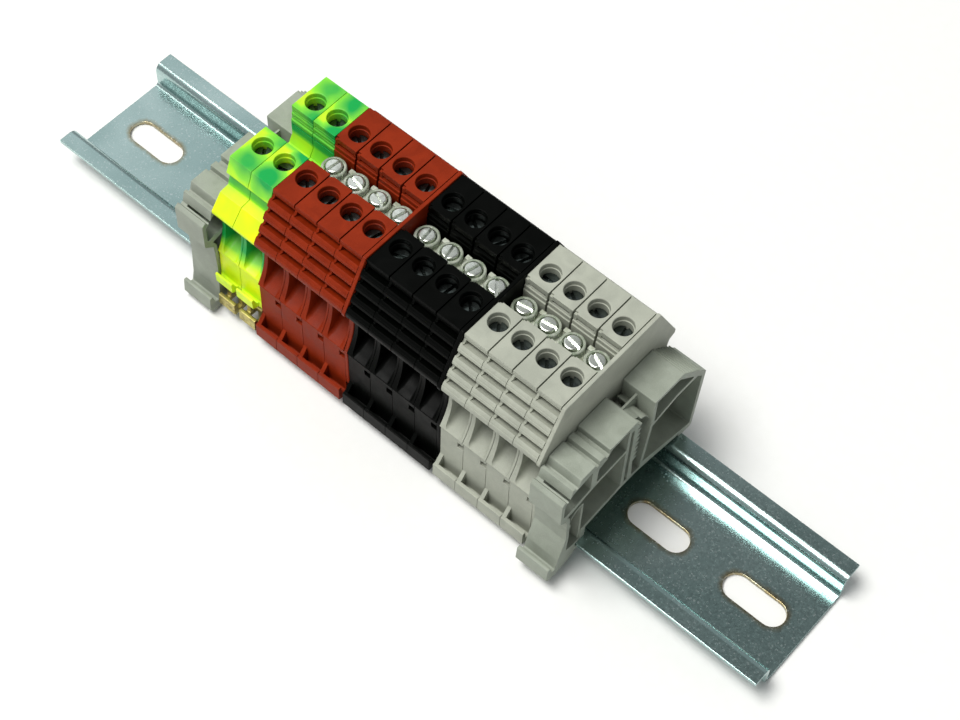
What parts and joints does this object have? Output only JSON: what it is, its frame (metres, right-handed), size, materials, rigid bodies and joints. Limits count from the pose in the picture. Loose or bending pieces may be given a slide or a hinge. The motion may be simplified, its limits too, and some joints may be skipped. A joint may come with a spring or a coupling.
{
  "type": "din rail terminal block",
  "caption": "Row of screw terminal blocks with cross bridges, end covers and end brackets, clipped on a slotted top-hat rail.",
  "frame": {"origin": "middle of the rail's flat back face, halfway along the rail and on its centre line", "axes": "+X along the rail towards the grey blocks, +Y across the rail towards the far clamps, +Z out of the rail's back towards the decks of the blocks"},
  "size_m": [0.2, 0.0482, 0.0474],
  "materials": {
    "rail": "zinc plated and blue passivated, satin with a bright edge",
    "earth_plastic": "moulded yellow plastic marbled with green, semi-matt",
    "red_plastic": "moulded polyamide, satin",
    "black_plastic": "moulded polyamide, semi-gloss",
    "grey_plastic": "moulded polyamide, satin",
    "screw": "zinc plated, bright",
    "cage": "zinc plated, bright",
    "bridge": "nickel plated, bright",
    "brass": "tin-bronze strip, dull"
  },
  "bodies": {
    "root": {"din_rail": "rail", "earth_1_housing": "earth_plastic", "earth_1_rail_foot": "brass", "earth_2_housing": "earth_plastic", "earth_2_rail_foot": "brass", "red_1_housing": "red_plastic", "red_2_housing": "red_plastic", "red_3_housing": "red_plastic", "red_4_housing": "red_plastic", "red_cross_bridge": "bridge", "red_end_cover": "red_plastic", "black_1_housing": "black_plastic", "black_2_housing": "black_plastic", "black_3_housing": "black_plastic", "black_4_housing": "black_plastic", "black_cross_bridge": "bridge", "black_end_cover": "black_plastic", "grey_1_housing": "grey_plastic", "grey_2_housing": "grey_plastic", "grey_3_housing": "grey_plastic", "grey_4_housing": "grey_plastic", "grey_cross_bridge": "bridge", "grey_end_cover": "grey_plastic"},
    "earth_1_near_clamp_screw": {"earth_1_near_clamp_screw": "screw"},
    "earth_1_near_clamp_cage": {"earth_1_near_clamp_cage": "cage"},
    "earth_1_far_clamp_screw": {"earth_1_far_clamp_screw": "screw"},
    "earth_1_far_clamp_cage": {"earth_1_far_clamp_cage": "cage"},
    "earth_2_near_clamp_screw": {"earth_2_near_clamp_screw": "screw"},
    "earth_2_near_clamp_cage": {"earth_2_near_clamp_cage": "cage"},
    "earth_2_far_clamp_screw": {"earth_2_far_clamp_screw": "screw"},
    "earth_2_far_clamp_cage": {"earth_2_far_clamp_cage": "cage"},
    "red_1_near_clamp_screw": {"red_1_near_clamp_screw": "screw"},
    "red_1_far_clamp_screw": {"red_1_far_clamp_screw": "screw"},
    "red_2_near_clamp_screw": {"red_2_near_clamp_screw": "screw"},
    "red_2_far_clamp_screw": {"red_2_far_clamp_screw": "screw"},
    "red_3_near_clamp_screw": {"red_3_near_clamp_screw": "screw"},
    "red_3_far_clamp_screw": {"red_3_far_clamp_screw": "screw"},
    "red_4_near_clamp_screw": {"red_4_near_clamp_screw": "screw"},
    "red_4_far_clamp_screw": {"red_4_far_clamp_screw": "screw"},
    "black_1_near_clamp_screw": {"black_1_near_clamp_screw": "screw"},
    "black_1_far_clamp_screw": {"black_1_far_clamp_screw": "screw"},
    "black_2_near_clamp_screw": {"black_2_near_clamp_screw": "screw"},
    "black_2_far_clamp_screw": {"black_2_far_clamp_screw": "screw"},
    "black_3_near_clamp_screw": {"black_3_near_clamp_screw": "screw"},
    "black_3_far_clamp_screw": {"black_3_far_clamp_screw": "screw"},
    "black_4_near_clamp_screw": {"black_4_near_clamp_screw": "screw"},
    "black_4_far_clamp_screw": {"black_4_far_clamp_screw": "screw"},
    "grey_1_near_clamp_screw": {"grey_1_near_clamp_screw": "screw"},
    "grey_1_far_clamp_screw": {"grey_1_far_clamp_screw": "screw"},
    "grey_2_near_clamp_screw": {"grey_2_near_clamp_screw": "screw"},
    "grey_2_far_clamp_screw": {"grey_2_far_clamp_screw": "screw"},
    "grey_3_near_clamp_screw": {"grey_3_near_clamp_screw": "screw"},
    "grey_3_far_clamp_screw": {"grey_3_far_clamp_screw": "screw"},
    "grey_4_near_clamp_screw": {"grey_4_near_clamp_screw": "screw"},
    "grey_4_far_clamp_screw": {"grey_4_far_clamp_screw": "screw"},
    "end_bracket_left": {"end_bracket_left": "grey_plastic"},
    "end_bracket_right": {"end_bracket_right": "grey_plastic"}
  },
  "joints": [
    {"name": "earth_1_near_screw_turn", "type": "hinge", "parent": "root", "child": "earth_1_near_clamp_screw", "pos_m": [-0.041, -0.0078, 0.0442], "axis": [0, 0, 1], "range_deg": [0, 2160]},
    {"name": "earth_1_near_cage_lift", "type": "slide", "parent": "root", "child": "earth_1_near_clamp_cage", "axis": [0, 0, 1], "range_m": [0, 0.003]},
    {"name": "earth_1_far_screw_turn", "type": "hinge", "parent": "root", "child": "earth_1_far_clamp_screw", "pos_m": [-0.041, 0.0078, 0.0442], "axis": [0, 0, 1], "range_deg": [0, 2160]},
    {"name": "earth_1_far_cage_lift", "type": "slide", "parent": "root", "child": "earth_1_far_clamp_cage", "axis": [0, 0, 1], "range_m": [0, 0.003]},
    {"name": "earth_2_near_screw_turn", "type": "hinge", "parent": "root", "child": "earth_2_near_clamp_screw", "pos_m": [-0.0348, -0.0078, 0.0442], "axis": [0, 0, 1], "range_deg": [0, 2160]},
    {"name": "earth_2_near_cage_lift", "type": "slide", "parent": "root", "child": "earth_2_near_clamp_cage", "axis": [0, 0, 1], "range_m": [0, 0.003]},
    {"name": "earth_2_far_screw_turn", "type": "hinge", "parent": "root", "child": "earth_2_far_clamp_screw", "pos_m": [-0.0348, 0.0078, 0.0442], "axis": [0, 0, 1], "range_deg": [0, 2160]},
    {"name": "earth_2_far_cage_lift", "type": "slide", "parent": "root", "child": "earth_2_far_clamp_cage", "axis": [0, 0, 1], "range_m": [0, 0.003]},
    {"name": "red_1_near_screw_turn", "type": "hinge", "parent": "root", "child": "red_1_near_clamp_screw", "pos_m": [-0.0286, -0.0078, 0.0442], "axis": [0, 0, 1], "range_deg": [0, 2160]},
    {"name": "red_1_far_screw_turn", "type": "hinge", "parent": "root", "child": "red_1_far_clamp_screw", "pos_m": [-0.0286, 0.0078, 0.0442], "axis": [0, 0, 1], "range_deg": [0, 2160]},
    {"name": "red_2_near_screw_turn", "type": "hinge", "parent": "root", "child": "red_2_near_clamp_screw", "pos_m": [-0.0224, -0.0078, 0.0442], "axis": [0, 0, 1], "range_deg": [0, 2160]},
    {"name": "red_2_far_screw_turn", "type": "hinge", "parent": "root", "child": "red_2_far_clamp_screw", "pos_m": [-0.0224, 0.0078, 0.0442], "axis": [0, 0, 1], "range_deg": [0, 2160]},
    {"name": "red_3_near_screw_turn", "type": "hinge", "parent": "root", "child": "red_3_near_clamp_screw", "pos_m": [-0.0162, -0.0078, 0.0442], "axis": [0, 0, 1], "range_deg": [0, 2160]},
    {"name": "red_3_far_screw_turn", "type": "hinge", "parent": "root", "child": "red_3_far_clamp_screw", "pos_m": [-0.0162, 0.0078, 0.0442], "axis": [0, 0, 1], "range_deg": [0, 2160]},
    {"name": "red_4_near_screw_turn", "type": "hinge", "parent": "root", "child": "red_4_near_clamp_screw", "pos_m": [-0.01, -0.0078, 0.0442], "axis": [0, 0, 1], "range_deg": [0, 2160]},
    {"name": "red_4_far_screw_turn", "type": "hinge", "parent": "root", "child": "red_4_far_clamp_screw", "pos_m": [-0.01, 0.0078, 0.0442], "axis": [0, 0, 1], "range_deg": [0, 2160]},
    {"name": "black_1_near_screw_turn", "type": "hinge", "parent": "root", "child": "black_1_near_clamp_screw", "pos_m": [-0.0028, -0.0078, 0.0442], "axis": [0, 0, 1], "range_deg": [0, 2160]},
    {"name": "black_1_far_screw_turn", "type": "hinge", "parent": "root", "child": "black_1_far_clamp_screw", "pos_m": [-0.0028, 0.0078, 0.0442], "axis": [0, 0, 1], "range_deg": [0, 2160]},
    {"name": "black_2_near_screw_turn", "type": "hinge", "parent": "root", "child": "black_2_near_clamp_screw", "pos_m": [0.0034, -0.0078, 0.0442], "axis": [0, 0, 1], "range_deg": [0, 2160]},
    {"name": "black_2_far_screw_turn", "type": "hinge", "parent": "root", "child": "black_2_far_clamp_screw", "pos_m": [0.0034, 0.0078, 0.0442], "axis": [0, 0, 1], "range_deg": [0, 2160]},
    {"name": "black_3_near_screw_turn", "type": "hinge", "parent": "root", "child": "black_3_near_clamp_screw", "pos_m": [0.0096, -0.0078, 0.0442], "axis": [0, 0, 1], "range_deg": [0, 2160]},
    {"name": "black_3_far_screw_turn", "type": "hinge", "parent": "root", "child": "black_3_far_clamp_screw", "pos_m": [0.0096, 0.0078, 0.0442], "axis": [0, 0, 1], "range_deg": [0, 2160]},
    {"name": "black_4_near_screw_turn", "type": "hinge", "parent": "root", "child": "black_4_near_clamp_screw", "pos_m": [0.0158, -0.0078, 0.0442], "axis": [0, 0, 1], "range_deg": [0, 2160]},
    {"name": "black_4_far_screw_turn", "type": "hinge", "parent": "root", "child": "black_4_far_clamp_screw", "pos_m": [0.0158, 0.0078, 0.0442], "axis": [0, 0, 1], "range_deg": [0, 2160]},
    {"name": "grey_1_near_screw_turn", "type": "hinge", "parent": "root", "child": "grey_1_near_clamp_screw", "pos_m": [0.023, -0.0078, 0.0442], "axis": [0, 0, 1], "range_deg": [0, 2160]},
    {"name": "grey_1_far_screw_turn", "type": "hinge", "parent": "root", "child": "grey_1_far_clamp_screw", "pos_m": [0.023, 0.0078, 0.0442], "axis": [0, 0, 1], "range_deg": [0, 2160]},
    {"name": "grey_2_near_screw_turn", "type": "hinge", "parent": "root", "child": "grey_2_near_clamp_screw", "pos_m": [0.0292, -0.0078, 0.0442], "axis": [0, 0, 1], "range_deg": [0, 2160]},
    {"name": "grey_2_far_screw_turn", "type": "hinge", "parent": "root", "child": "grey_2_far_clamp_screw", "pos_m": [0.0292, 0.0078, 0.0442], "axis": [0, 0, 1], "range_deg": [0, 2160]},
    {"name": "grey_3_near_screw_turn", "type": "hinge", "parent": "root", "child": "grey_3_near_clamp_screw", "pos_m": [0.0354, -0.0078, 0.0442], "axis": [0, 0, 1], "range_deg": [0, 2160]},
    {"name": "grey_3_far_screw_turn", "type": "hinge", "parent": "root", "child": "grey_3_far_clamp_screw", "pos_m": [0.0354, 0.0078, 0.0442], "axis": [0, 0, 1], "range_deg": [0, 2160]},
    {"name": "grey_4_near_screw_turn", "type": "hinge", "parent": "root", "child": "grey_4_near_clamp_screw", "pos_m": [0.0416, -0.0078, 0.0442], "axis": [0, 0, 1], "range_deg": [0, 2160]},
    {"name": "grey_4_far_screw_turn", "type": "hinge", "parent": "root", "child": "grey_4_far_clamp_screw", "pos_m": [0.0416, 0.0078, 0.0442], "axis": [0, 0, 1], "range_deg": [0, 2160]},
    {"name": "end_bracket_left_slide", "type": "slide", "parent": "root", "child": "end_bracket_left", "axis": [-1, 0, 0], "range_m": [0, 0.047]},
    {"name": "end_bracket_right_slide", "type": "slide", "parent": "root", "child": "end_bracket_right", "axis": [1, 0, 0], "range_m": [0, 0.045]}
  ],
  "couplings": [
    {"joint": "earth_1_near_screw_turn", "follows": "earth_1_near_cage_lift", "rad_per_m": 12566},
    {"joint": "earth_1_far_screw_turn", "follows": "earth_1_far_cage_lift", "rad_per_m": 12566},
    {"joint": "earth_2_near_screw_turn", "follows": "earth_2_near_cage_lift", "rad_per_m": 12566},
    {"joint": "earth_2_far_screw_turn", "follows": "earth_2_far_cage_lift", "rad_per_m": 12566}
  ]
}
